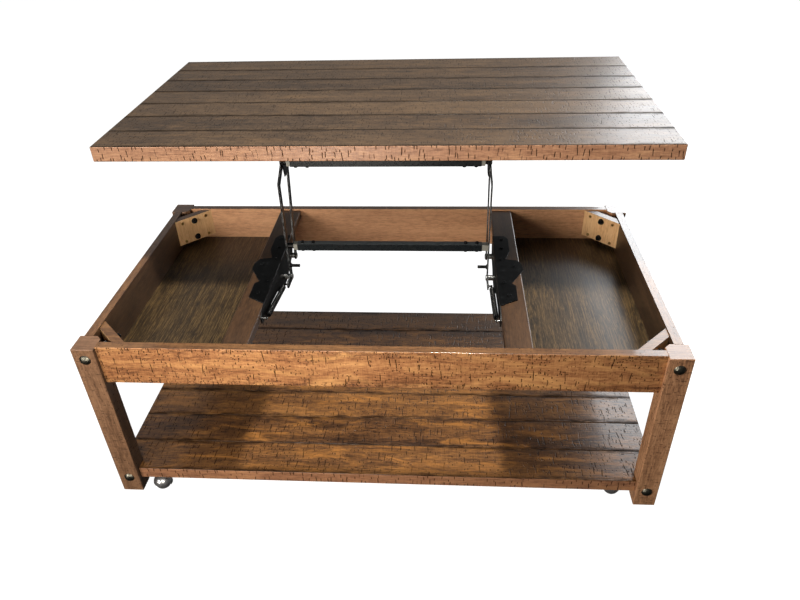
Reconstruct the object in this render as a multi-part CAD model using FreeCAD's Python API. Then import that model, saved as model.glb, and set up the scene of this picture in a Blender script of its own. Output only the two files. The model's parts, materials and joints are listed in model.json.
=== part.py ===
"""Lift top coffee table: board top, open compartments, board shelf, parallel-arm lift, four casters.

Millimetres, +Z up, the front is -Y.  The table is stored with its top raised.  Shapes are built about
the middle of the four legs' footprint and then moved so that the origin is the bottom centre of the
whole raised table.
"""
import FreeCAD, Part
import math
import os

# ---- driving dimensions -------------------------------------------------------------------------
TOP_LENGTH = 1320.0
TOP_DEPTH = 704.0
TOP_THICKNESS = 36.0
PLANK_COUNT = 7
PLANK_BEVEL = 1.2
PANEL_ROUND = 2.0

BASE_LENGTH = 1290.0
BASE_DEPTH = 686.0
LEG_WIDTH = 50.0
LEG_CHAMFER = 11.0
EDGE_ROUND = 1.5
LEG_BOTTOM = 14.0
LEG_TOP = 457.5
TOP_GAP = 0.5

APRON_HEIGHT = 98.0
APRON_THICKNESS = 20.0
APRON_RECESS = 9.0
BACK_APRON_DROP = 14.0

FLOOR_THICKNESS = 6.0
RAIL_INNER = 272.0
RAIL_OUTER = 330.0
RAIL_THICKNESS = 20.0
RAIL_DROP = 4.5
RAIL_ROUND = 3.0
PARTITION_THICKNESS = 18.0

SHELF_BOTTOM = 50.0
SHELF_THICKNESS = 32.0
SHELF_RECESS = 10.0
SHELF_END_RECESS = 2.0
SHELF_FIT = 1.0

BLOCK_REACH = 80.0
BLOCK_THICKNESS = 20.0
BLOCK_HEIGHT = 76.0
BLOCK_DROP = 3.0
HANGER_RADIUS = 3.0
HANGER_DEPTH = 45.0
HANGER_STUB = 9.0
HANGER_HEIGHTS = (389.5, 440.0)
FLANGE_RADIUS = 8.5
FLANGE_THICKNESS = 1.5
NUT_RADIUS = 6.5
NUT_HEIGHT = 5.5
CORNER_SCREW_HEIGHTS = (386.5, 443.5)
CORNER_SCREW_OFFSET = 36.0
CORNER_SCREW_RADIUS = 2.0
CORNER_SCREW_DEPTH = 9.0
CORNER_HEAD_RADIUS = 4.0
CORNER_HEAD_HEIGHT = 1.6

HEAD_RADIUS = 12.5
HEAD_HEIGHT = 6.5
HEAD_HEIGHTS = (59.0, 429.0)

# lift linkage, side view: (y, z) of the front arm's lower pivot, raised
FRONT_PIVOT = (50.0, 396.0)
PIVOT_OFFSET = (70.0, 22.0)
ARM_LENGTH = 302.0
RAISED_LEAN = math.radians(8.0)
CLOSED_RISE = math.radians(3.5)
KNEE_HEIGHT = 258.0
TAIL = (-42.0, 2.0)
ARM_HALF_WIDTH = 10.0
ARM_INNER = 252.0
ARM_UPPER_INNER = 249.0
UPPER_BEND = 0.75
ARM_THICKNESS = 3.0
SHEET = 2.5
PIN_RADIUS = 4.0
RUNNING_FIT = 0.06
OPEN_PIVOT_CLEARANCE = 0.4
FACE_GAP = 0.3
RIVET_RADIUS = 7.0
RIVET_HEAD = 2.0

# crossbars: distance from the middle to each tube end and to its end block's outer face
CROSSBAR_HEIGHT_ON_ARM = 92.0
CROSSBAR_SIZE = 18.0
CROSSBAR_WALL = 1.5
LOWER_ENDS = {"left": (226.0, 236.0), "right": (236.0, 252.0)}
UPPER_ENDS = {"left": (229.0, 238.0), "right": (229.0, 238.0)}
END_BLOCK_SIZE = 16.0
PLUG_LENGTH = 50.0
SPACER_RADIUS = 7.0
BAR_BOLT_RADIUS = 2.5
BAR_BOLT_HEAD = 4.5
BAR_BOLT_HEIGHT = 4.5
BAR_BOLT_PLACES = (12.0, 40.0)
STUD_HEIGHT_ON_ARM = 33.0
STUD_LENGTH = 24.0
STUD_COLLAR = 3.0
COLLAR_WIDTH = 2.0

SPRING_X = 262.3
SPRING_RADIUS = 6.5
SPRING_ANCHOR = (-182.0, 429.0)
SPRING_PIN_RADIUS = 2.5
HOOK_RADIUS = 1.2
HOOK_LENGTH = 12.0
SPRING_WASHER = 1.5

BRACKET_BEND = 2.0
BRACKET_SCREW_PLACES = ((285, 46), (314, 12), (285, -62), (294, -116), (290, 100), (293, 146))
SCREW_RADIUS = 2.5
SCREW_HEAD_RADIUS = 4.5
SCREW_HEAD_HEIGHT = 2.0

TOP_FLANGE_X = 245.5
TOP_FLANGE_WIDTH = 34.0
TOP_BRACKET_FRONT = 34.0
TOP_BRACKET_REAR = 42.0
TOP_BRACKET_NECK = 4.5
TOP_BRACKET_LOBE = 12.0
TOP_BOSS_RADIUS = 11.0
GUSSET_DROP = 38.0
TOP_SCREW_STEPS = (6.0, 49.0, 98.0)

CASTER_X = 553.0
CASTER_Y = 305.0
WHEEL_RADIUS = 20.0
WHEEL_FLAT = 15.0
CASTER_TRAILS = {"front_left": -12.0, "front_right": 12.0, "back_left": 12.0, "back_right": 12.0}
HOOD_INNER = 21.2
HOOD_OUTER = 22.8
HOOD_EDGE = 23.0
STEM_RADIUS = 5.0
SWIVEL_PIN_RADIUS = 3.0
AXLE_RADIUS = 2.5
PLATE_SIZE = 42.0
PLATE_THICKNESS = 3.0
STEM_START = 10.0
EAR_DROP = 6.0

# ---- derived places -----------------------------------------------------------------------------
HALF_X = BASE_LENGTH / 2
HALF_Y = BASE_DEPTH / 2
APRON_BOTTOM = LEG_TOP - APRON_HEIGHT
APRON_INSET = APRON_RECESS + APRON_THICKNESS
INNER_X = HALF_X - APRON_INSET
INNER_Y = HALF_Y - APRON_INSET
FLOOR_TOP = APRON_BOTTOM + FLOOR_THICKNESS
RAIL_TOP = LEG_TOP - RAIL_DROP
RAIL_BOTTOM = RAIL_TOP - RAIL_THICKNESS
TOP_TRAVEL = ARM_LENGTH * (math.sin(RAISED_LEAN) + math.cos(CLOSED_RISE))
TOP_LIFT = ARM_LENGTH * (math.cos(RAISED_LEAN) - math.sin(CLOSED_RISE))
TOP_UNDERSIDE = LEG_TOP + TOP_GAP + TOP_LIFT
TOP_FRONT = TOP_TRAVEL - TOP_DEPTH / 2
ORIGIN_Y = (TOP_FRONT + TOP_DEPTH - HALF_Y - HEAD_HEIGHT) / 2
REAR_PIVOT = (FRONT_PIVOT[0] + PIVOT_OFFSET[0], FRONT_PIVOT[1] + PIVOT_OFFSET[1])
ARM_VECTOR = (ARM_LENGTH * math.sin(RAISED_LEAN), ARM_LENGTH * math.cos(RAISED_LEAN))
FRONT_UPPER = (FRONT_PIVOT[0] + ARM_VECTOR[0], FRONT_PIVOT[1] + ARM_VECTOR[1])
REAR_UPPER = (REAR_PIVOT[0] + ARM_VECTOR[0], REAR_PIVOT[1] + ARM_VECTOR[1])
TAIL_END = (FRONT_PIVOT[0] + TAIL[0], FRONT_PIVOT[1] + TAIL[1])
SIDES = (("left", -1), ("right", 1))
CORNERS = [(f"{depth}_{side}", sx, sy) for depth, sy in (("front", -1), ("back", 1)) for side, sx in SIDES]

Vector = FreeCAD.Vector
X_AXIS = Vector(1, 0, 0)
Y_AXIS = Vector(0, 1, 0)
Z_AXIS = Vector(0, 0, 1)


# ---- helpers ------------------------------------------------------------------------------------
def box(low, high):
    """Box between two corners given in any order."""
    start = Vector(*[min(pair) for pair in zip(low, high)])
    size = [abs(b - a) for a, b in zip(low, high)]
    return Part.makeBox(*size, start)


def rod(start, end, radius):
    """Round bar between two points."""
    a = Vector(*start)
    b = Vector(*end)
    return Part.makeCylinder(radius, a.distanceToPoint(b), a, b - a)


def hex_bar(start, end, radius):
    """Six-sided bar between two points."""
    a = Vector(*start)
    along = Vector(*end) - a
    first = along.cross(X_AXIS if abs(along.z) > abs(along.x) else Z_AXIS).normalize()
    second = first.cross(along).normalize()
    turns = [math.radians(60 * corner) for corner in range(6)]
    points = [a + first * (radius * math.cos(turn)) + second * (radius * math.sin(turn)) for turn in turns]
    return prism(points, along)


def join(shapes):
    """One solid from overlapping shapes, with seams between coplanar faces removed."""
    body = shapes[0]
    if len(shapes) > 1:
        body = body.multiFuse(shapes[1:])
    return body.removeSplitter()


def prism(points, direction):
    """Polygon through 3-D points, pushed along a direction."""
    corners = [Vector(*point) for point in points]
    return Part.Face(Part.makePolygon(corners + corners[:1])).extrude(Vector(*direction))


def side_plate(outline, inner_x, thickness):
    """Sheet in a plane of constant x from a (y, z) outline."""
    return prism([(inner_x, y, z) for y, z in outline], (thickness, 0, 0))


def flat_plate(outline, bottom, thickness):
    """Horizontal sheet from an (x, y) outline."""
    return prism([(x, y, bottom) for x, y in outline], (0, 0, thickness))


def cross_pin(place, start_x, end_x, radius):
    """Round bar along x through a (y, z) place."""
    return rod((start_x, *place), (end_x, *place), radius)


def mirrored(shape, side):
    """Shape built on the +X side, as it is or reflected to the left."""
    if side > 0:
        return shape
    return shape.mirror(Vector(0, 0, 0), X_AXIS)


def mirrored_y(shape, side):
    """Shape built on the +Y side, as it is or reflected to the front."""
    if side > 0:
        return shape
    return shape.mirror(Vector(0, 0, 0), Y_AXIS)


def both_sides(shapes):
    """Shapes built on the +X side, with their reflections."""
    return [mirrored(shape, side) for _, side in SIDES for shape in shapes]


def eased(shape, radius, chosen):
    """Shape with the edges rounded whose bounding boxes pass a test."""
    return shape.makeFillet(radius, [edge for edge in shape.Edges if chosen(edge.BoundBox)])


def export(node, shapes):
    """Write one STEP file holding one or more separate solids, moved to the part's origin."""
    if not isinstance(shapes, list):
        shapes = [shapes]
    solids = [solid for shape in shapes for solid in shape.Solids]
    body = solids[0] if len(solids) == 1 else Part.makeCompound(solids)
    body = body.translated(Vector(0, -ORIGIN_Y, 0))
    body.exportStep(f"parts/{node}.step")


# ---- wooden base --------------------------------------------------------------------------------
def leg_envelope(gap):
    """Post in the back right corner with its inner corner chamfered, grown inward by a fitting gap."""
    x0 = HALF_X - LEG_WIDTH - gap
    y0 = HALF_Y - LEG_WIDTH - gap
    outline = [(x0 + LEG_CHAMFER, y0), (HALF_X, y0), (HALF_X, HALF_Y), (x0, HALF_Y), (x0, y0 + LEG_CHAMFER)]
    return flat_plate(outline, LEG_BOTTOM, LEG_TOP - LEG_BOTTOM)


def is_leg_outer_edge(bounds):
    """True for a leg's top edges and for its upright edges on the outer faces."""
    on_top = bounds.ZMin > LEG_TOP - 1
    outer = bounds.XMin + bounds.YMin > HALF_X + HALF_Y - LEG_WIDTH - 1
    return on_top or (outer and bounds.ZLength > LEG_TOP - LEG_BOTTOM - 1)


def make_legs():
    """Square posts with a chamfered inner corner and eased outer edges."""
    leg = eased(leg_envelope(0), EDGE_ROUND, is_leg_outer_edge)
    for name, sx, sy in CORNERS:
        export(f"leg_{name}", mirrored_y(mirrored(leg, sx), sy))


def make_aprons():
    """Four boards between the legs, set back from the legs' outer faces; the back one is deeper."""
    span_x = HALF_X - LEG_WIDTH
    span_y = HALF_Y - LEG_WIDTH
    outer_x = HALF_X - APRON_RECESS
    outer_y = HALF_Y - APRON_RECESS
    front_board, back_board = [
        eased(box((-span_x, INNER_Y, bottom), (span_x, outer_y, LEG_TOP)), EDGE_ROUND,
              lambda edge: edge.XLength > span_x and edge.YMin > outer_y - 1)
        for bottom in (APRON_BOTTOM, APRON_BOTTOM - BACK_APRON_DROP)]
    short_board = box((INNER_X, -span_y, APRON_BOTTOM), (outer_x, span_y, LEG_TOP))
    short_board = eased(short_board, EDGE_ROUND,
                        lambda edge: edge.YLength > span_y and edge.XMin > outer_x - 1)
    export("apron_back", back_board)
    export("apron_front", mirrored_y(front_board, -1))
    export("apron_right", short_board)
    export("apron_left", mirrored(short_board, -1))


def block_frame():
    """Middle of the back right corner block's inner face, its inward normal and its run."""
    middle = Vector(INNER_X - BLOCK_REACH / 2, INNER_Y - BLOCK_REACH / 2, 0)
    normal = Vector(-1, -1, 0).normalize()
    run = Vector(1, -1, 0).normalize()
    return middle, normal, run


def on_block(along, depth, height):
    """Point beside the block: along its face, out of the face by depth, at a height."""
    middle, normal, run = block_frame()
    return middle + run * along + normal * depth + Z_AXIS * height


def make_corner_blocks():
    """Diagonal braces with hanger bolts into the legs, flange nuts on them, and screws into the aprons."""
    bottom = LEG_TOP - BLOCK_DROP - BLOCK_HEIGHT
    back = BLOCK_THICKNESS * math.sqrt(2)
    outline = [(INNER_X, INNER_Y - BLOCK_REACH), (INNER_X, INNER_Y - BLOCK_REACH + back),
               (INNER_X - BLOCK_REACH + back, INNER_Y), (INNER_X - BLOCK_REACH, INNER_Y)]
    block = flat_plate(outline, bottom, BLOCK_HEIGHT)
    leg = leg_envelope(0)
    bolts, nuts = [], []
    for height in HANGER_HEIGHTS:
        bolt = rod(on_block(0, -HANGER_DEPTH, height), on_block(0, HANGER_STUB, height), HANGER_RADIUS)
        flange = rod(on_block(0, 0, height), on_block(0, FLANGE_THICKNESS, height), FLANGE_RADIUS)
        body = hex_bar(on_block(0, 0, height), on_block(0, FLANGE_THICKNESS + NUT_HEIGHT, height), NUT_RADIUS)
        block = block.cut(bolt)
        nuts.append(join([flange, body]).cut(bolt))
        bolts.append(bolt.cut(leg))
    screws = [corner_screw(along, height) for height in CORNER_SCREW_HEIGHTS
              for along in (-CORNER_SCREW_OFFSET, CORNER_SCREW_OFFSET)]
    for screw in screws:
        block = block.cut(screw)
    for name, sx, sy in CORNERS:
        export(f"corner_block_{name}", mirrored_y(mirrored(block, sx), sy))
    for node, pieces in (("hanger_bolts", bolts), ("corner_nuts", nuts), ("corner_screws", screws)):
        export(node, [mirrored_y(mirrored(piece, sx), sy) for _, sx, sy in CORNERS for piece in pieces])


def corner_screw(along, height):
    """Round-headed screw standing a little proud of the block's face."""
    face = on_block(along, 0, height)
    shank = rod(on_block(along, -CORNER_SCREW_DEPTH, height), face, CORNER_SCREW_RADIUS)
    head = rod(face, on_block(along, CORNER_HEAD_HEIGHT, height), CORNER_HEAD_RADIUS)
    return join([shank, head])


def make_leg_bolt_heads():
    """Domed ornamental heads on the front and back faces of the legs."""
    sphere_radius = (HEAD_RADIUS ** 2 + HEAD_HEIGHT ** 2) / (2 * HEAD_HEIGHT)
    heads = []
    for height in HEAD_HEIGHTS:
        for side in (-1, 1):
            centre = Vector(side * (HALF_X - LEG_WIDTH / 2), HALF_Y - sphere_radius + HEAD_HEIGHT, height)
            ball = Part.makeSphere(sphere_radius, centre)
            keep = box((centre.x - HEAD_RADIUS * 2, HALF_Y, height - HEAD_RADIUS * 2),
                       (centre.x + HEAD_RADIUS * 2, HALF_Y + HEAD_HEIGHT * 2, height + HEAD_RADIUS * 2))
            heads.append(ball.common(keep))
    export("leg_bolt_heads", [mirrored_y(head, sy) for sy in (-1, 1) for head in heads])


def without_legs(shape, gap):
    """Shape with the four posts' room cut out of it."""
    post = leg_envelope(gap)
    for _, sx, sy in CORNERS:
        shape = shape.cut(mirrored_y(mirrored(post, sx), sy))
    return shape


def make_compartments():
    """Floors of the side compartments, their inner walls and the flat rails on top of the walls."""
    wall_inner = RAIL_OUTER - PARTITION_THICKNESS
    floor = without_legs(box((wall_inner, -INNER_Y, APRON_BOTTOM), (INNER_X, INNER_Y, FLOOR_TOP)), 0)
    wall = box((wall_inner, -INNER_Y, FLOOR_TOP), (RAIL_OUTER, INNER_Y, RAIL_BOTTOM))
    rail = box((RAIL_INNER, -INNER_Y, RAIL_BOTTOM), (RAIL_OUTER, INNER_Y, RAIL_TOP))
    rail = eased(rail, RAIL_ROUND, lambda edge: edge.YLength > INNER_Y and edge.ZMin > RAIL_TOP - 1)
    for name, side in SIDES:
        export(f"compartment_floor_{name}", mirrored(floor, side))
        export(f"compartment_wall_{name}", mirrored(wall, side))
        export(f"lift_rail_{name}", mirrored(rail, side))


def boards(low, high):
    """Panel of boards along x between two corners: bevelled joints on top, rounded outer edges."""
    width = (high[1] - low[1]) / PLANK_COUNT
    rounded = eased(box(low, high), PANEL_ROUND, lambda edge: True)
    shoulder = high[2] - PLANK_BEVEL
    panel = []
    for index in range(PLANK_COUNT):
        y0 = low[1] + index * width
        y1 = y0 + width
        outline = [(y0, low[2]), (y1, low[2]), (y1, shoulder), (y1 - PLANK_BEVEL, high[2]),
                   (y0 + PLANK_BEVEL, high[2]), (y0, shoulder)]
        panel.append(side_plate(outline, low[0], high[0] - low[0]).common(rounded))
    return panel


def make_shelf():
    """Lower shelf of boards, notched round the legs."""
    low = (-HALF_X + SHELF_END_RECESS, -HALF_Y + SHELF_RECESS, SHELF_BOTTOM)
    high = (HALF_X - SHELF_END_RECESS, HALF_Y - SHELF_RECESS, SHELF_BOTTOM + SHELF_THICKNESS)
    export("shelf", [without_legs(board, SHELF_FIT) for board in boards(low, high)])


# ---- lift mechanism -----------------------------------------------------------------------------
def strap(points, inner_faces):
    """Flat bar with round ends and bends through (y, z) points, its inner face at a given x at each."""
    shapes = []
    for start, end, start_x, end_x in zip(points, points[1:], inner_faces, inner_faces[1:]):
        length = math.dist(start, end)
        across_y = (start[1] - end[1]) / length * ARM_HALF_WIDTH
        across_z = (end[0] - start[0]) / length * ARM_HALF_WIDTH
        turns = ((start_x, start, 1), (end_x, end, 1), (end_x, end, -1), (start_x, start, -1))
        corners = [(x, y + side * across_y, z + side * across_z) for x, (y, z), side in turns]
        shapes.append(prism(corners, (ARM_THICKNESS, 0, 0)))
    for point, inner_x in zip(points, inner_faces):
        shapes.append(cross_pin(point, inner_x, inner_x + ARM_THICKNESS, ARM_HALF_WIDTH))
    return join(shapes)


def bored(plate, place, radius):
    """Plate with a hole along x."""
    return plate.cut(cross_pin(place, 0, RAIL_INNER * 2, radius))


def arm_height(height):
    """Place on the straight lower part of the front arm."""
    return (FRONT_PIVOT[0], FRONT_PIVOT[1] + height)


def make_arms():
    """Front arms with a spring tail, a knee and an inward upper part; straight rear arms; the studs."""
    outer_x = ARM_INNER + ARM_THICKNESS
    knee = arm_height(KNEE_HEIGHT)
    bend = [low + (high - low) * UPPER_BEND for low, high in zip(knee, FRONT_UPPER)]
    front = strap([TAIL_END, FRONT_PIVOT, knee, bend, FRONT_UPPER],
                  [ARM_INNER, ARM_INNER, ARM_INNER, ARM_UPPER_INNER, ARM_UPPER_INNER])
    front = bored(front, FRONT_PIVOT, PIN_RADIUS + RUNNING_FIT)
    front = bored(front, FRONT_UPPER, PIN_RADIUS + RUNNING_FIT)
    front = bored(front, TAIL_END, SPRING_PIN_RADIUS)
    rear = strap([REAR_PIVOT, REAR_UPPER], [ARM_INNER, ARM_INNER])
    rear = bored(rear, REAR_PIVOT, PIN_RADIUS + RUNNING_FIT)
    rear = bored(rear, REAR_UPPER, PIN_RADIUS + OPEN_PIVOT_CLEARANCE)
    for name, side in SIDES:
        export(f"front_arm_{name}", mirrored(front, side))
        export(f"rear_arm_{name}", mirrored(rear, side))
    spring_pin = cross_pin(TAIL_END, ARM_INNER, SPRING_X + SPRING_PIN_RADIUS, SPRING_PIN_RADIUS)
    spring_washer = cross_pin(TAIL_END, outer_x, outer_x + SPRING_WASHER, SPRING_PIN_RADIUS * 2)
    place = arm_height(STUD_HEIGHT_ON_ARM)
    stop = cross_pin(place, ARM_INNER - STUD_LENGTH, ARM_INNER, PIN_RADIUS)
    stop_collar = cross_pin(place, ARM_INNER - STUD_COLLAR, ARM_INNER, PIN_RADIUS + COLLAR_WIDTH)
    export("front_arm_studs", both_sides([join([spring_pin, spring_washer]), join([stop, stop_collar])]))


def square_bar(place, start_x, end_x, size):
    """Square bar along x round a (y, z) place."""
    y, z = place
    half = size / 2
    return box((start_x, y - half, z - half), (end_x, y + half, z + half))


def crossbar(place, ends, bore):
    """Square tube with nylon end blocks plugged into it and bolts through tube and plugs.

    Returns the tube, the blocks and the bolts.  Each block has a bore along x where a pin enters it."""
    core = CROSSBAR_SIZE - 2 * CROSSBAR_WALL
    tube = square_bar(place, -ends["left"][0], ends["right"][0], CROSSBAR_SIZE)
    tube = tube.cut(square_bar(place, -ends["left"][0], ends["right"][0], core))
    y, z = place
    reach = CROSSBAR_SIZE / 2
    blocks, bolts = [], []
    for name, side in SIDES:
        tube_end, block_end = ends[name]
        block = join([square_bar(place, tube_end, block_end, END_BLOCK_SIZE),
                      square_bar(place, tube_end - PLUG_LENGTH, tube_end, core)])
        if bore:
            block = bored(block, place, bore)
        for step in BAR_BOLT_PLACES:
            x = tube_end - step
            shank = rod((x, y, z - reach), (x, y, z + reach), BAR_BOLT_RADIUS)
            head = hex_bar((x, y, z + reach), (x, y, z + reach + BAR_BOLT_HEIGHT), BAR_BOLT_HEAD)
            nut = hex_bar((x, y, z - reach - BAR_BOLT_HEIGHT), (x, y, z - reach), BAR_BOLT_HEAD)
            block = block.cut(shank)
            tube = tube.cut(mirrored(shank, side))
            bolts.append(mirrored(join([shank, head, nut]), side))
        blocks.append(mirrored(block, side))
    return tube, blocks, bolts


def make_lower_crossbar():
    """Crossbar between the front arms, with a steel spacer beside its left end block."""
    place = arm_height(CROSSBAR_HEIGHT_ON_ARM)
    tube, blocks, bolts = crossbar(place, LOWER_ENDS, 0)
    export("lower_crossbar", tube)
    export("crossbar_end_blocks", blocks)
    export("crossbar_bolts", bolts)
    export("crossbar_spacer", cross_pin(place, -ARM_INNER, -LOWER_ENDS["left"][1], SPACER_RADIUS))


def make_base_brackets():
    """Angle plates: a lobed flange on the rail and a deep flange that carries the arms."""
    fold = RAIL_INNER - SHEET
    top = RAIL_TOP + SHEET
    lobes = [(fold, -160), (312, -134), (313, -76), (303, -66), (322, -32), (335, -8), (335, 14), (326, 38),
             (296, 44), (309, 86), (309, 148), (300, 162), (fold, 162)]
    upright = [(-160, top), (162, top), (162, 426), (150, 402), (104, 392), (76, 378), (30, 376),
               (-4, 384), (-40, 408), (-110, 418), (-192, 420), (-197, 425), (-197, 440), (-188, 446)]
    bracket = join([flat_plate(lobes, RAIL_TOP, SHEET), side_plate(upright, fold, SHEET)])
    bracket = eased(bracket, BRACKET_BEND, lambda edge: edge.XMax < fold + 1 and edge.ZMin > top - 1)
    bracket = bored(bracket, FRONT_PIVOT, PIN_RADIUS)
    bracket = bored(bracket, REAR_PIVOT, PIN_RADIUS)
    bracket = bored(bracket, SPRING_ANCHOR, SPRING_PIN_RADIUS)
    screws = []
    for x, y in BRACKET_SCREW_PLACES:
        shank = rod((x, y, RAIL_TOP), (x, y, top), SCREW_RADIUS)
        head = rod((x, y, top), (x, y, top + SCREW_HEAD_HEIGHT), SCREW_HEAD_RADIUS)
        bracket = bracket.cut(shank)
        screws.append(join([shank, head]))
    for name, side in SIDES:
        export(f"base_bracket_{name}", mirrored(bracket, side))
    export("base_bracket_screws", both_sides(screws))
    arm_face = ARM_INNER - FACE_GAP
    pins = []
    for place in (FRONT_PIVOT, REAR_PIVOT):
        shaft = cross_pin(place, arm_face, RAIL_INNER, PIN_RADIUS)
        inner_head = cross_pin(place, arm_face - RIVET_HEAD, arm_face, RIVET_RADIUS)
        outer_head = cross_pin(place, RAIL_INNER, RAIL_INNER + RIVET_HEAD, RIVET_RADIUS)
        collar = cross_pin(place, ARM_INNER + ARM_THICKNESS + FACE_GAP, fold, RIVET_RADIUS)
        pins += [join([shaft, inner_head, outer_head]), collar.cut(shaft)]
    export("base_pivot_pins", both_sides(pins))
    anchor = cross_pin(SPRING_ANCHOR, SPRING_X - SPRING_PIN_RADIUS, RAIL_INNER, SPRING_PIN_RADIUS)
    export("spring_anchor_pins", both_sides([anchor]))


def make_springs():
    """Extension springs from the front of the base brackets to the front arms' tails."""
    start = Vector(SPRING_X, *SPRING_ANCHOR)
    end = Vector(SPRING_X, *TAIL_END)
    along = (end - start).normalize()
    eye = SPRING_PIN_RADIUS + HOOK_RADIUS
    body_start = start + along * (eye + HOOK_LENGTH)
    body_end = end - along * (eye + HOOK_LENGTH)
    body = rod(body_start, body_end, SPRING_RADIUS)
    front_hook = rod(start + along * eye, body_start, HOOK_RADIUS)
    rear_hook = rod(body_end, end - along * eye, HOOK_RADIUS)
    spring = join([body, front_hook, rear_hook])
    for name, side in SIDES:
        export(f"lift_spring_{name}", mirrored(spring, side))


def make_top_brackets():
    """Angle plates under the top, with a boss at the front pivot and a lobe down to the rear pivot."""
    inner = TOP_FLANGE_X
    outer = inner + SHEET
    front_y, front_z = FRONT_UPPER
    rear_y, rear_z = REAR_UPPER
    front = front_y - TOP_BRACKET_FRONT
    rear = rear_y + TOP_BRACKET_REAR
    low_edge = TOP_UNDERSIDE - SHEET
    neck = front_z + TOP_BRACKET_NECK
    reach = TOP_BRACKET_LOBE
    upright = [(front, TOP_UNDERSIDE), (front, neck + reach), (front_y - reach, neck),
               (front_y, front_z - GUSSET_DROP), (front_y + reach * 2, front_z - GUSSET_DROP),
               (rear_y + reach, rear_z - reach), (rear, TOP_UNDERSIDE - reach), (rear, TOP_UNDERSIDE)]
    flange = box((outer - TOP_FLANGE_WIDTH, front, low_edge), (outer, rear, TOP_UNDERSIDE))
    boss = cross_pin(FRONT_UPPER, inner, outer, TOP_BOSS_RADIUS)
    bracket = join([side_plate(upright, inner, SHEET), flange, boss])
    bracket = bored(bracket, FRONT_UPPER, PIN_RADIUS)
    bracket = bored(bracket, REAR_UPPER, PIN_RADIUS)
    screw_x = outer - TOP_FLANGE_WIDTH / 2
    screws = []
    for step in TOP_SCREW_STEPS:
        y = front_y + step
        shank = rod((screw_x, y, low_edge), (screw_x, y, TOP_UNDERSIDE), SCREW_RADIUS)
        head = rod((screw_x, y, low_edge - SCREW_HEAD_HEIGHT), (screw_x, y, low_edge), SCREW_HEAD_RADIUS)
        bracket = bracket.cut(shank)
        screws.append(join([shank, head]))
    for name, side in SIDES:
        export(f"top_bracket_{name}", mirrored(bracket, side))
    export("top_bracket_screws", both_sides(screws))


def make_upper_crossbar():
    """Crossbar on the front pivots of the top brackets, and the pivot pins of both arms."""
    tube, blocks, bolts = crossbar(FRONT_UPPER, UPPER_ENDS, PIN_RADIUS)
    export("upper_crossbar", tube)
    export("upper_end_blocks", blocks)
    export("upper_crossbar_bolts", bolts)
    tube_end, block_end = UPPER_ENDS["right"]
    flange_outer = TOP_FLANGE_X + SHEET
    upper_outer = ARM_UPPER_INNER + ARM_THICKNESS + FACE_GAP
    arm_outer = ARM_INNER + ARM_THICKNESS + FACE_GAP
    front_shaft = cross_pin(FRONT_UPPER, tube_end, upper_outer, PIN_RADIUS)
    front_head = cross_pin(FRONT_UPPER, upper_outer, upper_outer + RIVET_HEAD, RIVET_RADIUS)
    front_collar = cross_pin(FRONT_UPPER, block_end, TOP_FLANGE_X, RIVET_RADIUS)
    rear_shaft = cross_pin(REAR_UPPER, TOP_FLANGE_X, arm_outer, PIN_RADIUS)
    rear_head = cross_pin(REAR_UPPER, TOP_FLANGE_X - RIVET_HEAD, TOP_FLANGE_X, RIVET_RADIUS)
    rear_cap = cross_pin(REAR_UPPER, arm_outer, arm_outer + RIVET_HEAD, RIVET_RADIUS)
    rear_collar = cross_pin(REAR_UPPER, flange_outer, ARM_INNER - FACE_GAP, RIVET_RADIUS)
    pins = [join([front_shaft, front_head]), front_collar.cut(front_shaft),
            join([rear_shaft, rear_head, rear_cap]), rear_collar.cut(rear_shaft)]
    export("top_pivot_pins", both_sides(pins))


def make_tabletop():
    """Top of boards glued edge to edge."""
    low = (-TOP_LENGTH / 2, TOP_FRONT, TOP_UNDERSIDE)
    high = (TOP_LENGTH / 2, TOP_FRONT + TOP_DEPTH, TOP_UNDERSIDE + TOP_THICKNESS)
    export("tabletop", boards(low, high))


# ---- casters ------------------------------------------------------------------------------------
def caster(x, y, trail):
    """Plate, hood with its stem and pin, axle and ball-shaped wheel of a swivel caster at a place."""
    plate_bottom = SHELF_BOTTOM - PLATE_THICKNESS
    wheel_y = y + trail
    centre = Vector(x, wheel_y, WHEEL_RADIUS)
    half = PLATE_SIZE / 2
    plate = box((x - half, y - half, plate_bottom), (x + half, y + half, SHELF_BOTTOM))
    plate = plate.cut(rod((x, y, plate_bottom), (x, y, SHELF_BOTTOM), SWIVEL_PIN_RADIUS + RUNNING_FIT))
    slab = box((x - WHEEL_FLAT, wheel_y - WHEEL_RADIUS, 0),
               (x + WHEEL_FLAT, wheel_y + WHEEL_RADIUS, SHELF_BOTTOM))
    bore = rod((x - HOOD_OUTER, wheel_y, WHEEL_RADIUS), (x + HOOD_OUTER, wheel_y, WHEEL_RADIUS),
               AXLE_RADIUS + RUNNING_FIT)
    wheel = Part.makeSphere(WHEEL_RADIUS, centre).common(slab).cut(bore)
    axle = rod((x - HOOD_INNER, wheel_y, WHEEL_RADIUS), (x + HOOD_INNER, wheel_y, WHEEL_RADIUS), AXLE_RADIUS)
    shell = Part.makeSphere(HOOD_OUTER, centre)
    cap = box((x - half * 2, wheel_y - half * 2, HOOD_EDGE), (x + half * 2, wheel_y + half * 2, SHELF_BOTTOM))
    ear_box = box((x - half * 2, wheel_y - EAR_DROP, WHEEL_RADIUS - EAR_DROP),
                  (x + half * 2, wheel_y + EAR_DROP, HOOD_EDGE))
    stem = rod((x, y, WHEEL_RADIUS + STEM_START), (x, y, plate_bottom - FACE_GAP), STEM_RADIUS)
    pin = rod((x, y, plate_bottom - STEM_RADIUS), (x, y, SHELF_BOTTOM - FACE_GAP), SWIVEL_PIN_RADIUS)
    hood = join([shell.common(cap), shell.common(ear_box), stem, pin])
    return plate, hood.cut(Part.makeSphere(HOOD_INNER, centre)).cut(axle), axle, wheel


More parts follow.
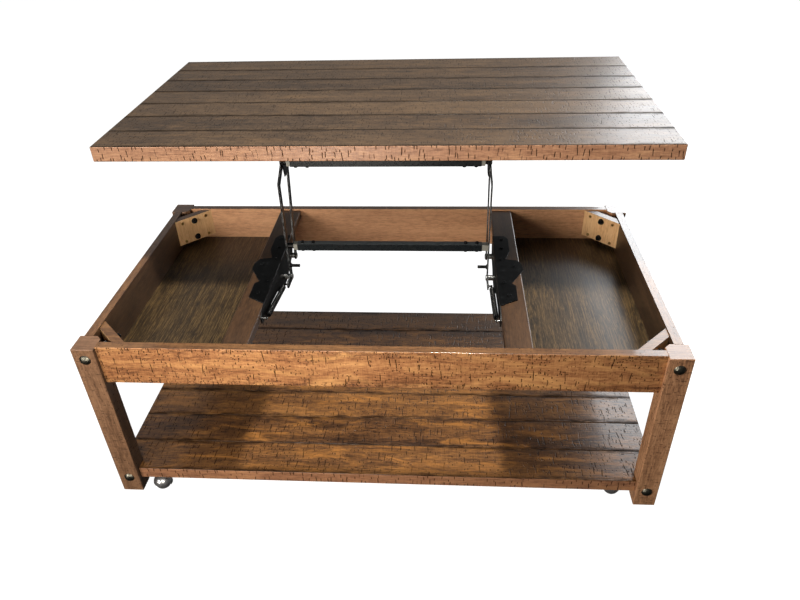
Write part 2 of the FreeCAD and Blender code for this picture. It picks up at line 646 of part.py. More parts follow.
def make_casters():
    """Four casters under the shelf's corners, one front wheel turned forward and the rest back."""
    plates = []
    for name, sx, sy in CORNERS:
        plate, hood, axle, wheel = caster(sx * CASTER_X, sy * CASTER_Y, CASTER_TRAILS[name])
        plates.append(plate)
        export(f"caster_hood_{name}", hood)
        export(f"caster_axle_{name}", axle)
        export(f"caster_wheel_{name}", wheel)
    export("caster_plates", plates)


def main():
    os.makedirs("parts", exist_ok=True)
    make_legs()
    make_aprons()
    make_corner_blocks()
    make_leg_bolt_heads()
    make_compartments()
    make_shelf()
    make_arms()
    make_lower_crossbar()
    make_base_brackets()
    make_springs()
    make_top_brackets()
    make_upper_crossbar()
    make_tabletop()
    make_casters()


main()
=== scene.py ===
"""Looks of the lift top coffee table: distressed wood, black lift steel, real coil springs, studio light."""
import json
import math
import bmesh
import bpy
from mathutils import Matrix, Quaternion, Vector


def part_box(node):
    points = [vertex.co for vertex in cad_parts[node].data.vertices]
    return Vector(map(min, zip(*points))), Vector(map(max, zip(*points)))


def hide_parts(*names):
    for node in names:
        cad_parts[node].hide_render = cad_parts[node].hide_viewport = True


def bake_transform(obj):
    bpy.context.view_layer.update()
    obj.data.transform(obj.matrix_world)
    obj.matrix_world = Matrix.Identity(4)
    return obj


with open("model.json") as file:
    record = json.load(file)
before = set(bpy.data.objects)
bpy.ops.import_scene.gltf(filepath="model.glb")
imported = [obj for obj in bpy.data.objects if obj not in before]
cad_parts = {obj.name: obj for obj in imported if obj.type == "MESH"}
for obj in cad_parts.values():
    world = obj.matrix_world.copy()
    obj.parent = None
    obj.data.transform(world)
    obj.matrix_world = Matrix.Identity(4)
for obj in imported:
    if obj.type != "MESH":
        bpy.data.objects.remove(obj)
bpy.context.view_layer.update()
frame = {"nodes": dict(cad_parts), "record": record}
NODES = frame["nodes"]
SIDES = ("left", "right")
CORNERS = ("front_left", "front_right", "back_left", "back_right")

# ---- camera and directions, in the object's frame, metres ------------------------------------------
CAMERA_PLACE = Vector((0.1434, -1.5783, 1.3246))
CAMERA_YAW = math.radians(-4.537)
CAMERA_PITCH = math.radians(34.421)
CAMERA_ROLL = math.radians(1.961)
CAMERA_LENS = 30.12
CAMERA_SENSOR = 36.0
CAMERA_FAR = 50.0
WHITE = (1.0, 1.0, 1.0)
FRONT = Vector((0, -1, 0))
RIGHT = Vector((1, 0, 0))
UP = Vector((0, 0, 1))
FACING = 0.8  # least cosine between a face and the side it counts as

# ---- springs: the tail pin's (y, z) from the front arm's lower pivot, wire sizes and hook arcs ------
SPRING_TAIL = (-0.042, 0.002)
SPRING_RADIUS = 0.0064
WIRE_RADIUS = 0.0008
COIL_PITCH = 0.0019
COIL_STEPS = 14
HOOK_REACH = 0.0157
HOOK_BEND = 0.0034
HOOK_STEPS = 14
HOOK_ARC = 230
HOOK_MEETS_BODY = 90
WIRE_SIDES = 6

FLOOR_REACH = 12.0


def srgb(red, green, blue):
    """Linear colour of an 8-bit sRGB triple."""
    channels = [value / 255 for value in (red, green, blue)]
    return tuple(c / 12.92 if c < 0.04045 else ((c + 0.055) / 1.055) ** 2.4 for c in channels)


def make_camera():
    """The photo's view."""
    forward = Vector((math.sin(CAMERA_YAW) * math.cos(CAMERA_PITCH),
                      math.cos(CAMERA_YAW) * math.cos(CAMERA_PITCH), -math.sin(CAMERA_PITCH)))
    data = bpy.data.cameras.new("camera")
    data.lens = CAMERA_LENS
    data.sensor_width = CAMERA_SENSOR
    data.clip_end = CAMERA_FAR
    camera = bpy.data.objects.new("camera", data)
    bpy.context.scene.collection.objects.link(camera)
    camera.location = CAMERA_PLACE
    camera.rotation_mode = "QUATERNION"
    camera.rotation_quaternion = forward.to_track_quat("-Z", "Y") @ Quaternion((0, 0, 1), -CAMERA_ROLL)
    bpy.context.scene.camera = camera


def area_light(name, place, target, size, power, colour=WHITE):
    """Rectangular lamp at a place, facing a target."""
    data = bpy.data.lights.new(name, "AREA")
    data.shape = "RECTANGLE"
    data.size, data.size_y = size
    data.energy = power
    data.color = colour
    lamp = bpy.data.objects.new(name, data)
    bpy.context.scene.collection.objects.link(lamp)
    lamp.location = place
    lamp.rotation_mode = "QUATERNION"
    lamp.rotation_quaternion = (Vector(target) - Vector(place)).to_track_quat("-Z", "Y")
    lamp.visible_camera = False


def make_lights():
    """A small lamp above, a near lamp in front, a soft fill at the front left, a window at the right back."""
    area_light("lamp_above", (0.20, -0.47, 2.50), (0.10, -0.30, 0.40), (0.20, 0.20), 56, (1.0, 0.94, 0.86))
    area_light("lamp_near", (-0.24, -1.15, 0.58), (-0.22, -0.30, 0.45), (0.45, 0.36), 5.6, (1.0, 0.92, 0.82))
    area_light("lamp_front", (-1.90, -2.60, 1.25), (0.0, -0.10, 0.45), (1.1, 1.0), 56, (1.0, 0.93, 0.85))
    area_light("window", (1.607, 1.711, 1.35), (0.30, 0.00, 0.60), (1.35, 1.70), 43, (0.94, 0.97, 1.0))


def make_world():
    """Pale surroundings: near white to the camera, dimmer as light, dimmest from below and from the front."""
    world = bpy.data.worlds.new("studio")
    bpy.context.scene.world = world
    world.use_nodes = True
    tree = world.node_tree
    background = tree.nodes["Background"]
    place = tree.nodes.new("ShaderNodeTexCoord")
    split = tree.nodes.new("ShaderNodeSeparateXYZ")
    tree.links.new(place.outputs["Generated"], split.inputs[0])
    height = tree.nodes.new("ShaderNodeMapRange")
    height.inputs["From Min"].default_value = -0.6
    height.inputs["From Max"].default_value = 0.8
    height.inputs["To Min"].default_value = 0.04
    height.inputs["To Max"].default_value = 0.30
    tree.links.new(split.outputs["Z"], height.inputs["Value"])
    depth = tree.nodes.new("ShaderNodeMapRange")
    depth.inputs["From Min"].default_value = -0.3
    depth.inputs["From Max"].default_value = 0.8
    depth.inputs["To Min"].default_value = 0.35
    depth.inputs["To Max"].default_value = 1.0
    tree.links.new(split.outputs["Y"], depth.inputs["Value"])
    product = tree.nodes.new("ShaderNodeMath")
    product.operation = "MULTIPLY"
    tree.links.new(height.outputs["Result"], product.inputs[0])
    tree.links.new(depth.outputs["Result"], product.inputs[1])
    rays = tree.nodes.new("ShaderNodeLightPath")
    strength = tree.nodes.new("ShaderNodeMix")
    tree.links.new(rays.outputs["Is Camera Ray"], strength.inputs["Factor"])
    tree.links.new(product.outputs["Value"], strength.inputs["A"])
    strength.inputs["B"].default_value = 1.0
    tree.links.new(strength.outputs["Result"], background.inputs["Strength"])
    background.inputs["Color"].default_value = (*WHITE, 1)


# ---- node materials -------------------------------------------------------------------------------
class Paint:
    """A node material being built: each method adds a node and returns its output."""

    def __init__(self, name):
        self.material = bpy.data.materials.new(name)
        self.material.use_nodes = True
        self.tree = self.material.node_tree
        self.shader = self.tree.nodes["Principled BSDF"]
        self.place = self.node("ShaderNodeTexCoord", {}, "Object")

    def node(self, kind, inputs, output=0, **settings):
        made = self.tree.nodes.new(kind)
        for name, value in settings.items():
            setattr(made, name, value)
        for name, value in inputs.items():
            if isinstance(value, bpy.types.NodeSocket):
                self.tree.links.new(value, made.inputs[name])
            else:
                made.inputs[name].default_value = value
        return made.outputs[output]

    def math(self, operation, first, second=0.0, third=0.0):
        return self.node("ShaderNodeMath", {0: first, 1: second, 2: third}, operation=operation)

    def split(self, vector):
        made = self.tree.nodes.new("ShaderNodeSeparateXYZ")
        self.tree.links.new(vector, made.inputs[0])
        return made.outputs[:3]

    def join(self, x, y, z):
        return self.node("ShaderNodeCombineXYZ", {0: x, 1: y, 2: z})

    def scaled(self, vector, factors):
        return self.node("ShaderNodeVectorMath", {0: vector, 1: factors}, operation="MULTIPLY")

    def noise(self, vector, scale, detail=3.0, roughness=0.55, distortion=0.0):
        return self.node("ShaderNodeTexNoise", {"Vector": vector, "Scale": scale, "Detail": detail,
                                                "Roughness": roughness, "Distortion": distortion}, "Fac")

    def step(self, value, start, end, low=0.0, high=1.0):
        """Smooth step from low at start to high at end."""
        return self.node("ShaderNodeMapRange", {"Value": value, "From Min": start, "From Max": end,
                                                "To Min": low, "To Max": high},
                         interpolation_type="SMOOTHSTEP")

    def ramp(self, value, stops):
        made = self.tree.nodes.new("ShaderNodeValToRGB")
        self.tree.links.new(value, made.inputs[0])
        points = made.color_ramp.elements
        points[0].position, points[1].position = stops[0][0], stops[-1][0]
        points[0].color, points[1].color = (*stops[0][1], 1), (*stops[-1][1], 1)
        for position, colour in stops[1:-1]:
            points.new(position).color = (*colour, 1)
        return made.outputs[0]

    def mix(self, amount, first, second, blend="MIX"):
        """Colour mixed from first towards second."""
        colours = [(*value, 1) if isinstance(value, tuple) else value for value in (first, second)]
        return self.node("ShaderNodeMix", {0: amount, 6: colours[0], 7: colours[1]}, 2,
                         data_type="RGBA", blend_type=blend)

    def set(self, **sockets):
        """Principled inputs by name, with _ for a space."""
        for name, value in sockets.items():
            socket = self.shader.inputs[name.replace("_", " ")]
            if isinstance(value, bpy.types.NodeSocket):
                self.tree.links.new(value, socket)
            else:
                socket.default_value = (*value, 1) if isinstance(value, tuple) and len(value) == 3 else value

    def bump(self, height, distance, strength=1.0):
        normal = self.node("ShaderNodeBump", {"Height": height, "Distance": distance, "Strength": strength})
        self.set(Normal=normal)


def strokes(paint, u, across, spacing, half_size, kept):
    """Dark marks scattered one to a cell: half_size along and across the grain, a share of them kept.

    spacing and half_size are (along, across) pairs in metres; kept is a number or a socket."""
    place = paint.join(paint.math("DIVIDE", u, spacing[0]), paint.math("DIVIDE", across, spacing[1]), 0.0)
    cell = paint.tree.nodes.new("ShaderNodeTexVoronoi")
    cell.voronoi_dimensions = "2D"
    cell.inputs["Scale"].default_value = 1.0
    paint.tree.links.new(place, cell.inputs["Vector"])
    offset = paint.node("ShaderNodeVectorMath", {0: place, 1: cell.outputs["Position"]}, operation="SUBTRACT")
    pick, length, slant = paint.split(cell.outputs["Color"])
    du, dv, _ = paint.split(offset)
    du = paint.math("MULTIPLY", du, spacing[0])
    dv = paint.math("MULTIPLY", dv, spacing[1])
    du = paint.math("MULTIPLY_ADD", dv, paint.math("MULTIPLY_ADD", slant, 0.3, -0.15), du)
    reach = paint.math("MULTIPLY_ADD", length, half_size[1], half_size[1] * 0.4)
    along = paint.step(paint.math("ABSOLUTE", du), half_size[0] * 1.5, half_size[0] * 0.5)
    side = paint.step(paint.math("DIVIDE", paint.math("ABSOLUTE", dv), reach), 1.0, 0.55)
    shown = paint.math("LESS_THAN", pick, kept)
    return paint.math("MULTIPLY", paint.math("MULTIPLY", along, side), shown)


def wood(name, along, tones, marks=(), boards=None, rim=None, gold=0.4, streaks=1.0, fibre=0.75,
         chatter=0.3, fade=0.6, roughness=0.42, coat=0.3, coat_roughness=0.3, dirt=0.6, line=0.8, dim=None):
    """Stained wood: grain along one axis, golden figure, cut marks across the grain, dark joints.

    tones are (dark, middle, light, golden); marks are (spacing, half_size, kept) rows for strokes;
    boards is (axis, first edge, board width) of a panel of boards; rim is (axis, low, high) of a board
    whose edges are worn and marked more; dim is (axis, from, to, share left) of painted shade that darkens."""
    dark, middle, light, golden = tones
    paint = Paint(name)
    axes = dict(zip("xyz", paint.split(paint.place)))
    u = axes[along]
    v, w = [axes[axis] for axis in "xyz" if axis != along]
    if boards:
        axis, edge, width = boards
        share = paint.math("DIVIDE", paint.math("SUBTRACT", axes[axis], edge), width)
        index = paint.math("FLOOR", share)
        chance = paint.node("ShaderNodeTexWhiteNoise", {"W": index}, "Value", noise_dimensions="1D")
        tone = paint.math("MULTIPLY_ADD", chance, 0.16, -0.08)
        u = paint.math("ADD", u, paint.math("MULTIPLY", chance, 9.0))
        share = paint.math("FRACT", share)
        gap = paint.math("MULTIPLY", paint.math("MINIMUM", share, paint.math("SUBTRACT", 1.0, share)), width)
    across = paint.math("ADD", v, w)
    straight = paint.join(u, v, w)
    warp = paint.noise(paint.scaled(straight, (2.2, 9.0, 9.0)), 1.0, 2.0)
    bend = paint.math("MULTIPLY_ADD", warp, 0.05, -0.025)
    flow = paint.join(u, paint.math("ADD", v, bend), paint.math("ADD", w, bend))
    broad = paint.noise(paint.scaled(flow, (1.6, 34.0, 34.0)), 1.0, 4.0, 0.6)
    fine = paint.noise(paint.scaled(flow, (12.0, 420.0, 420.0)), 1.0, 4.0, 0.7)
    fleck = paint.noise(paint.scaled(straight, (60.0, 260.0, 260.0)), 1.0, 3.0, 0.7)
    mottle = paint.noise(paint.scaled(straight, (8.0, 20.0, 20.0)), 1.0, 4.0, 0.65)
    cross = paint.noise(paint.scaled(straight, (380.0, 40.0, 40.0)), 1.0, 4.0, 0.65)
    mixed = paint.math("MULTIPLY_ADD", broad, 0.62 * streaks, 0.5 - 0.31 * streaks)
    for layer, amount in ((fine, fibre), (mottle, 0.30 * streaks), (fleck, 0.65), (cross, chatter)):
        mixed = paint.math("MULTIPLY_ADD", paint.math("SUBTRACT", layer, 0.5), amount, mixed)
    if boards:
        mixed = paint.math("ADD", mixed, tone)
    colour = paint.ramp(mixed, [(0.26, dark), (0.5, middle), (0.74, light)])
    flame = paint.noise(paint.scaled(flow, (7.0, 30.0, 30.0)), 1.0, 5.0, 0.66, 0.8)
    colour = paint.mix(paint.step(flame, 0.47, 0.72, 0.0, gold), colour, golden)
    vein = paint.noise(paint.scaled(flow, (3.0, 70.0, 70.0)), 1.0, 3.0, 0.6)
    colour = paint.mix(paint.step(vein, 0.58, 0.74, 0.0, 0.42 * streaks), colour, dark)
    # Painted shade: the colour darkens towards the far end of the dim axis.
    if dim:
        axis, start, end, left = dim
        colour = paint.mix(paint.step(axes[axis], start, end, 0.0, 1.0 - left), colour, dark)
    if rim:
        axis, low, high = rim
        distance = paint.math("MINIMUM", paint.math("SUBTRACT", axes[axis], low),
                              paint.math("SUBTRACT", high, axes[axis]))
        near = paint.step(distance, 0.020, 0.004)
    stain = 0.0
    for spacing, half_size, kept in marks:
        share = paint.math("MULTIPLY_ADD", near, 0.45, kept) if rim else kept
        mark = strokes(paint, u, across, spacing, half_size, share)
        stain = paint.math("MAXIMUM", stain, mark)
    patches = paint.noise(paint.scaled(straight, (9.0, 16.0, 16.0)), 1.0, 3.0)
    patchy = paint.step(patches, 0.35, 0.52, 0.45, 1.0)
    stain = paint.math("MULTIPLY", paint.math("MULTIPLY", stain, patchy), fade)
    if rim:
        specks = paint.noise(paint.scaled(straight, (70.0, 130.0, 130.0)), 1.0, 4.0, 0.7)
        grime = paint.step(specks, 0.50, 0.66)
        stain = paint.math("MAXIMUM", stain, paint.math("MULTIPLY", paint.math("MULTIPLY", near, grime), 0.6))
    if boards:
        ragged = paint.noise(paint.scaled(straight, (22.0, 90.0, 90.0)), 1.0, 4.0, 0.65)
        wide = paint.noise(paint.scaled(straight, (5.0, 20.0, 20.0)), 1.0, 3.0)
        seam = paint.math("MULTIPLY", paint.step(gap, 0.0034, 0.0016), line)
        spread = paint.step(paint.math("DIVIDE", gap, paint.step(wide, 0.3, 0.7, 0.004, 0.020)), 1.0, 0.1)
        spread = paint.math("MULTIPLY", spread, paint.step(ragged, 0.30, 0.62))
        joints = paint.math("MAXIMUM", seam, paint.math("MULTIPLY", spread, dirt))
        stain = paint.math("MAXIMUM", stain, joints)
    colour = paint.mix(stain, colour, tuple(channel * 0.13 for channel in dark))
    height = paint.math("MULTIPLY_ADD", stain, -1.0, paint.math("MULTIPLY", fine, 0.25))
    height = paint.math("MULTIPLY_ADD", cross, 0.35 * chatter, height)
    rough = paint.math("MULTIPLY_ADD", mottle, 0.18, roughness - 0.09)
    rough = paint.math("MULTIPLY_ADD", stain, 0.25, rough)
    paint.set(Base_Color=colour, Roughness=rough, Coat_Weight=coat, Coat_Roughness=coat_roughness)
    if marks or boards:
        bare = paint.math("SUBTRACT", 1.0, stain)
        paint.set(Coat_Weight=paint.math("MULTIPLY", bare, coat),
                  Specular_IOR_Level=paint.math("MULTIPLY", bare, 0.5))
    paint.bump(height, 0.0006)
    return paint.material


def steel_paint(name, colour, roughness, metallic, wear, wear_colour, flake, edge=0.0, reach=0.0011,
                dents=0.0, shine=0.5):
    """Painted or plated metal, or nylon, with fine orange peel and spots worn to another colour.

    edge is how far edges are worn, within reach of them, and with a pale wear colour it is also a painted
    highlight along edges; dents is the depth of hammer marks."""
    paint = Paint(name)
    peel = paint.noise(paint.place, 900.0, 2.0)
    scuff = paint.noise(paint.place, 75.0, 5.0, 0.65)
    worn = paint.step(scuff, 0.60, 0.72, 0.0, wear)
    # Edge mask: worn paint at edges, and where the wear colour is pale, a painted highlight along them.
    if edge:
        normal = paint.node("ShaderNodeBevel", {"Radius": reach}, samples=6)
        face = paint.node("ShaderNodeNewGeometry", {}, "Normal")
        turn = paint.node("ShaderNodeVectorMath", {0: normal, 1: face}, "Value", operation="DOT_PRODUCT")
        rub = paint.math("MULTIPLY", paint.step(turn, 0.985, 0.86), paint.step(scuff, 0.38, 0.56))
        worn = paint.math("MAXIMUM", worn, paint.math("MULTIPLY", rub, edge))
    base = paint.mix(paint.step(paint.noise(paint.place, 140.0, 3.0), 0.3, 0.7),
                     tuple(c * (1 - flake) for c in colour), tuple(c * (1 + flake) for c in colour))
    paint.set(Base_Color=paint.mix(worn, base, wear_colour), Metallic=metallic, Specular_IOR_Level=shine,
              Roughness=paint.math("MULTIPLY_ADD", scuff, 0.25, roughness - 0.1))
    if dents:
        pits = paint.node("ShaderNodeTexVoronoi", {"Vector": paint.place, "Scale": 330.0}, "Distance")
        paint.bump(paint.math("MULTIPLY_ADD", peel, 0.2, pits), dents)
    else:
        paint.bump(peel, 0.00005, 0.12)
    return paint.material


def assign(material, *names):
    """Give CAD nodes one material in place of every slot."""
    for name in names:
        mesh = NODES[name].data
        mesh.materials.clear()
        mesh.materials.append(material)
        for polygon in mesh.polygons:
            polygon.material_index = 0


def assign_faces(material, name, *directions):
    """Give the faces of a CAD node that look in some directions a material of their own."""
    mesh = NODES[name].data
    mesh.materials.append(material)
    slot = len(mesh.materials) - 1
    for polygon in mesh.polygons:
        if any(polygon.normal.dot(direction) > FACING for direction in directions):
            polygon.material_index = slot


def each(prefix, endings):
    """Node names that share a prefix."""
    return [f"{prefix}_{ending}" for ending in endings]


def board_layout(node, count=7):
    """(axis, first edge, board width) of a panel made of boards side by side along y."""
    low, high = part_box(node)
    return "y", low.y, (high.y - low.y) / count


def finish_wood():
    """Woods of every piece, by face where a face has its own.

    Some of the photo's light and shade is in these colours: the shelf darkens towards the back, the inner
    faces of the left legs and the short aprons are darker woods, and left and right legs differ."""
    long_tick = ((0.022, 0.034), (0.0009, 0.0135), 0.55)
    short_tick = ((0.009, 0.012), (0.0010, 0.0030), 0.38)
    pit = ((0.010, 0.010), (0.0012, 0.0012), 0.24)
    edge_tick = ((0.0155, 0.020), (0.0010, 0.0090), 0.88)
    brown = (srgb(58, 40, 27), srgb(104, 72, 46), srgb(136, 98, 62), srgb(170, 124, 76))
    amber = (srgb(92, 56, 36), srgb(160, 108, 68), srgb(198, 144, 94), srgb(224, 168, 106))
    rose = (srgb(118, 82, 60), srgb(172, 126, 96), srgb(204, 158, 122), srgb(218, 170, 128))
    # The left and right legs are a darker and a lighter copy of one wood: painted shade on the left legs,
    # painted light on the right legs.
    leg_tones = (srgb(80, 56, 40), srgb(122, 90, 66), srgb(150, 114, 86), srgb(158, 120, 88))
    light_tones = (srgb(112, 78, 56), srgb(182, 134, 98), srgb(210, 162, 122), srgb(216, 166, 122))
    top = wood("top_walnut", "x", (srgb(40, 30, 21), srgb(74, 58, 42), srgb(100, 80, 58), srgb(118, 91, 60)),
               (((0.018, 0.046), (0.0009, 0.012), 0.40), ((0.008, 0.011), (0.0009, 0.0035), 0.42), pit),
               board_layout("tabletop"), gold=0.35, streaks=0.8, chatter=0.45, coat=0.25, dirt=0.75)
    shelf_tones = (srgb(46, 30, 20), srgb(100, 68, 41), srgb(150, 105, 58), srgb(196, 134, 66))
    # Painted shade: the shelf darkens towards the back, under the raised top (dim).
    shelf = wood("shelf_walnut", "x", shelf_tones, (((0.018, 0.030), (0.0011, 0.012), 0.60), short_tick, pit),
                 board_layout("shelf"), gold=0.60, roughness=0.34, coat=0.5, coat_roughness=0.16, fade=0.75,
                 dirt=0.85, line=0.55, dim=("y", -0.02, 0.10, 0.42))
    apron_low, apron_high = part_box("apron_front")
    rim = ("z", apron_low.z, apron_high.z)
    apron_x = wood("apron_long", "x", amber, (long_tick, short_tick, pit), rim=rim, gold=0.65, chatter=0.4,
                   fade=0.90)
    apron_y = wood("apron_short", "y", brown, (long_tick, short_tick, pit), rim=rim, gold=0.35, fade=0.7)
    leg_marks = (((0.030, 0.026), (0.0010, 0.008), 0.35), short_tick, pit)
    leg_dark = wood("leg_left", "z", leg_tones, leg_marks, gold=0.3, chatter=0.4)
    leg_light = wood("leg_right", "z", light_tones, leg_marks, gold=0.3, chatter=0.4)
    # Painted shade: the left legs' inner faces are a much darker wood.
    leg_shaded = wood("leg_inner_side", "z",
                      (srgb(38, 27, 19), srgb(62, 44, 31), srgb(80, 58, 41), srgb(86, 62, 43)),
                      leg_marks, gold=0.2, chatter=0.2, coat=0.1)
    # Painted shade on upward faces: the long aprons' rims and the corner blocks' tops are darker woods than
    # their sides, and all leg tops take the darker left-leg tones.
    rim_wood = wood("apron_rim", "x", brown, (pit,), gold=0.4, fade=0.7, coat=1.0, coat_roughness=0.10)
    rim_short = wood("apron_rim_short", "y", brown, (pit,), gold=0.3, fade=0.7, coat=1.0, coat_roughness=0.10)
    leg_top = wood("leg_top", "x", leg_tones, (), gold=0.3, chatter=0.2, coat=1.0, coat_roughness=0.10)
    block_top = wood("block_top", "x", brown, (), gold=0.2, chatter=0.1, coat=0.8, coat_roughness=0.12)
    # Painted light: the top's edge and end faces get lighter woods than its upper face.
    top_edge = wood("edge_rose", "x", rose, (edge_tick,), gold=0.4, streaks=0.5, fade=0.9)
    top_end = wood("end_rose", "y", rose, (edge_tick,), gold=0.4, streaks=0.5, fade=0.9)
    # Painted light: the shelf's edge and end faces get lighter woods than its upper face.
    border_tones = (srgb(102, 68, 48), srgb(156, 110, 80), srgb(190, 138, 100), srgb(208, 154, 108))
    shelf_edge = wood("edge_brown", "x", border_tones, (edge_tick,), gold=0.4, streaks=0.6, fade=0.88)
    shelf_end = wood("end_brown", "y", border_tones, (edge_tick,), gold=0.4, streaks=0.6, fade=0.88)
    # Painted shade: the short aprons' inner faces are a much darker wood.
    shaded = wood("apron_inner_side", "y",
                  (srgb(40, 29, 20), srgb(68, 49, 34), srgb(88, 64, 44), srgb(100, 74, 48)),
                  gold=0.15, chatter=0.06, coat=0.15)
    rail = wood("rail_brown", "y", (srgb(44, 31, 20), srgb(72, 51, 34), srgb(90, 65, 43), srgb(98, 71, 45)),
                gold=0.15, fibre=0.5, chatter=0.05)
    floor = wood("compartment_oak", "y",
                 (srgb(32, 25, 17), srgb(62, 49, 31), srgb(104, 83, 52), srgb(94, 75, 46)),
                 gold=0.15, streaks=0.7, fibre=1.7, chatter=0.05, coat=0.22, coat_roughness=0.24)
    block = wood("block_beech", "z", (srgb(206, 154, 104), srgb(240, 192, 138), srgb(250, 208, 154),
                                      srgb(252, 210, 150)), gold=0.3, streaks=0.5, chatter=0.05, coat=0.2)
    # Painted light: the back apron's inner face is a lighter wood than its other faces, with a pinker tone of
    # its own.
    back_inner_lit = wood("apron_inside", "x", (srgb(164, 118, 84), srgb(206, 154, 114), srgb(226, 176, 134),
                                        srgb(232, 180, 132)), gold=0.35, streaks=0.6, fibre=0.6, chatter=0.06)
    assign(top, "tabletop")
    assign_faces(top_edge, "tabletop", FRONT, -FRONT)
    assign_faces(top_end, "tabletop", RIGHT, -RIGHT)
    assign(shelf, "shelf")
    assign_faces(shelf_edge, "shelf", FRONT, -FRONT)
    assign_faces(shelf_end, "shelf", RIGHT, -RIGHT)
    assign(apron_x, "apron_front")
    assign(apron_x, "apron_back")
    assign_faces(back_inner_lit, "apron_back", FRONT)
    assign(apron_y, "apron_left", "apron_right")
    assign_faces(shaded, "apron_left", RIGHT)
    assign_faces(shaded, "apron_right", -RIGHT)
    for name in ("apron_front", "apron_back"):
        assign_faces(rim_wood, name, UP)
    for name in ("apron_left", "apron_right"):
        assign_faces(rim_short, name, UP)
    assign(leg_dark, "leg_front_left", "leg_back_left")
    assign_faces(leg_shaded, "leg_front_left", RIGHT)
    assign_faces(leg_shaded, "leg_back_left", RIGHT)
    assign(leg_light, "leg_front_right", "leg_back_right")
    assign(rail, *each("lift_rail", SIDES), *each("compartment_wall", SIDES))
    assign(floor, *each("compartment_floor", SIDES))
    assign(block, *each("corner_block", CORNERS))
    for name in CORNERS:
        assign_faces(leg_top, f"leg_{name}", UP)
        assign_faces(block_top, f"corner_block_{name}", UP)


def finish_metal():
    """Metals and nylon; returns the springs' wire. The lower crossbar's upper face is paler, as lit."""
    black = steel_paint("black_paint", srgb(5, 6, 7), 0.32, 0.0, 0.20, srgb(70, 74, 78), 0.2, edge=0.85,
                        shine=0.25)
    tube = steel_paint("black_tube", srgb(22, 27, 30), 0.26, 0.0, 0.05, srgb(60, 64, 66), 0.05)
    # Painted light: the lower crossbar's upper face is a paler steel, as if lit from above; its darker spots
    # are wear.
    tube_top_lit = steel_paint("tube_top_painted_light", srgb(92, 98, 100), 0.36, 0.0, 0.30, srgb(58, 62, 64), 0.10)
    # The arms' pale, wide edge wear is partly worn paint and partly a painted highlight along their edges.
    arm_wear_highlight = steel_paint("arm_wear_and_painted_highlight", srgb(8, 9, 10), 0.30, 0.0, 0.20, srgb(170, 174, 176), 0.2, edge=1.0,
                         reach=0.0019, shine=0.3)
    zinc = steel_paint("zinc_plate", srgb(150, 152, 152), 0.34, 1.0, 0.4, srgb(104, 104, 102), 0.12)
    wire = steel_paint("black_wire", srgb(14, 15, 16), 0.30, 0.3, 0.15, srgb(70, 72, 74), 0.2)
    pewter = steel_paint("pewter", srgb(104, 102, 92), 0.34, 1.0, 0.5, srgb(160, 158, 146), 0.30,
                         dents=0.0004)
    brass = steel_paint("brass", srgb(196, 158, 104), 0.30, 1.0, 0.3, srgb(120, 94, 60), 0.15)
    nylon = steel_paint("nylon", srgb(138, 138, 130), 0.45, 0.0, 0.4, srgb(96, 94, 88), 0.05)
    caster = steel_paint("caster_steel", srgb(200, 200, 202), 0.22, 0.9, 0.2, srgb(110, 110, 112), 0.1)
    tyre = steel_paint("caster_tyre", srgb(168, 168, 170), 0.28, 0.8, 0.2, srgb(84, 82, 80), 0.1)
    assign(arm_wear_highlight, *each("front_arm", SIDES), *each("rear_arm", SIDES))
    assign(black, *each("base_bracket", SIDES), *each("top_bracket", SIDES), "crossbar_spacer",
           "front_arm_studs", "top_pivot_pins", "crossbar_bolts", "base_bracket_screws", "top_bracket_screws",
           "corner_nuts", "hanger_bolts")
    assign(tube, "lower_crossbar", "upper_crossbar", "upper_crossbar_bolts")
    assign_faces(tube_top_lit, "lower_crossbar", UP)
    assign(zinc, "base_pivot_pins", "spring_anchor_pins", "caster_plates", *each("caster_axle", CORNERS))
    assign(wire, *each("lift_spring", SIDES))
    assign(pewter, "leg_bolt_heads")
    assign(brass, "corner_screws")
    assign(nylon, "crossbar_end_blocks", "upper_end_blocks")
    assign(caster, *each("caster_hood", CORNERS))
    assign(tyre, *each("caster_wheel", CORNERS))
    return wire


# ---- pieces that stand for CAD stand-ins -----------------------------------------------------------
def tube_along(bm, path, radius, sides):
    """Round wire along a path of points."""
    rings = []
    normal = None
    for index, point in enumerate(path):
        ahead = path[min(index + 1, len(path) - 1)]
        behind = path[max(index - 1, 0)]
        tangent = (ahead - behind).normalized()
        if normal is None:
            normal = tangent.orthogonal().normalized()
        normal = (normal - tangent * normal.dot(tangent)).normalized()
        side = tangent.cross(normal)
        ring = []
        for step in range(sides):
            turn = 2 * math.pi * step / sides
            ring.append(bm.verts.new(point + (normal * math.cos(turn) + side * math.sin(turn)) * radius))
        rings.append(ring)
    for first, second in zip(rings, rings[1:]):
        for step in range(sides):
            after = (step + 1) % sides
            bm.faces.new((first[step], first[after], second[after], second[step]))
    bm.faces.new(tuple(reversed(rings[0])))
    bm.faces.new(tuple(rings[-1]))


def add_piece(name, bm, material):
    """Smooth object made from a bmesh, which is freed."""
    mesh = bpy.data.meshes.new(name)
    bm.normal_update()
    bm.to_mesh(mesh)
    bm.free()
    mesh.materials.append(material)
    for polygon in mesh.polygons:
        polygon.use_smooth = True
    piece = bpy.data.objects.new(name, mesh)
    bpy.context.scene.collection.objects.link(piece)
    return piece


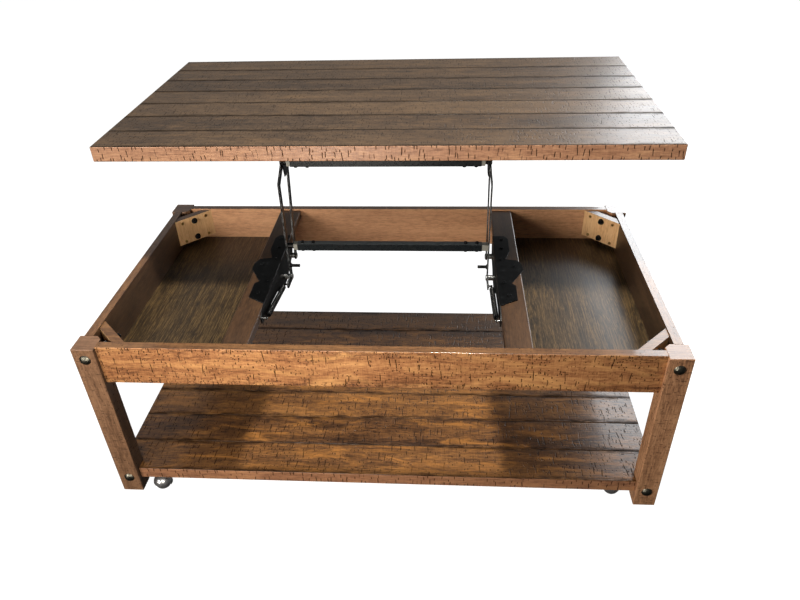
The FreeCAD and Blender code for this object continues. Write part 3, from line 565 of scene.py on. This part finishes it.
def coil_spring(side, material):
    """Close-coiled extension spring with an open hook at each end."""
    low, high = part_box(f"lift_spring_{side}")
    pin_low, pin_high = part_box("spring_anchor_pins")
    pivot = next(Vector(joint["pos_m"]) for joint in frame["record"]["behaviour"]["joints"]
                 if joint["name"] == "lift")
    x = (low.x + high.x) / 2
    start = Vector((x, (pin_low.y + pin_high.y) / 2, (pin_low.z + pin_high.z) / 2))
    end = Vector((x, pivot.y + SPRING_TAIL[0], pivot.z + SPRING_TAIL[1]))
    along = (end - start).normalized()
    out = Vector((1, 0, 0))
    up = along.cross(out)
    body_start = start + along * HOOK_REACH
    body_end = end - along * HOOK_REACH
    length = (body_end - body_start).length
    turns = int(length / COIL_PITCH)
    steps = turns * COIL_STEPS
    coil = SPRING_RADIUS - WIRE_RADIUS
    path = []
    for step in range(HOOK_STEPS + 1):
        turn = math.radians(HOOK_MEETS_BODY - HOOK_ARC + HOOK_ARC * step / HOOK_STEPS)
        path.append(start + (up * math.sin(turn) - along * math.cos(turn)) * HOOK_BEND)
    for step in range(steps + 1):
        turn = math.pi / 2 + 2 * math.pi * step / COIL_STEPS
        grow = min(1.0, step / COIL_STEPS, (steps - step) / COIL_STEPS)
        radius = HOOK_BEND + (coil - HOOK_BEND) * grow
        centre = body_start + along * (length * step / steps)
        path.append(centre + (out * math.cos(turn) + up * math.sin(turn)) * radius)
    for step in range(HOOK_STEPS + 1):
        turn = math.radians(HOOK_MEETS_BODY - HOOK_ARC * step / HOOK_STEPS)
        path.append(end + (along * math.cos(turn) + up * math.sin(turn)) * HOOK_BEND)
    bm = bmesh.new()
    tube_along(bm, path, WIRE_RADIUS, WIRE_SIDES)
    piece = add_piece(f"coil_spring_{side}", bm, material)
    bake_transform(piece)
    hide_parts(f"lift_spring_{side}")


# ---- stage ----------------------------------------------------------------------------------------
def make_floor():
    """Plain pale floor that is lit but throws no light back at the object."""
    mesh = bpy.data.meshes.new("floor")
    mesh.from_pydata([(-FLOOR_REACH, -FLOOR_REACH, 0), (FLOOR_REACH, -FLOOR_REACH, 0),
                      (FLOOR_REACH, FLOOR_REACH, 0), (-FLOOR_REACH, FLOOR_REACH, 0)], [], [(0, 1, 2, 3)])
    floor = bpy.data.objects.new("floor", mesh)
    bpy.context.scene.collection.objects.link(floor)
    paint = Paint("pale_floor")
    speckle = paint.noise(paint.place, 40.0, 3.0)
    paint.set(Base_Color=paint.mix(speckle, (0.30, 0.30, 0.30), (0.33, 0.33, 0.33)), Roughness=0.9,
              Emission_Color=WHITE, Emission_Strength=0.95)
    mesh.materials.append(paint.material)
    floor.visible_diffuse = False
    floor.visible_glossy = False


bpy.context.scene.view_settings.view_transform = "Standard"
make_camera()
make_lights()
make_world()
make_floor()
finish_wood()
spring_wire = finish_metal()
for name in SIDES:
    coil_spring(name, spring_wire)
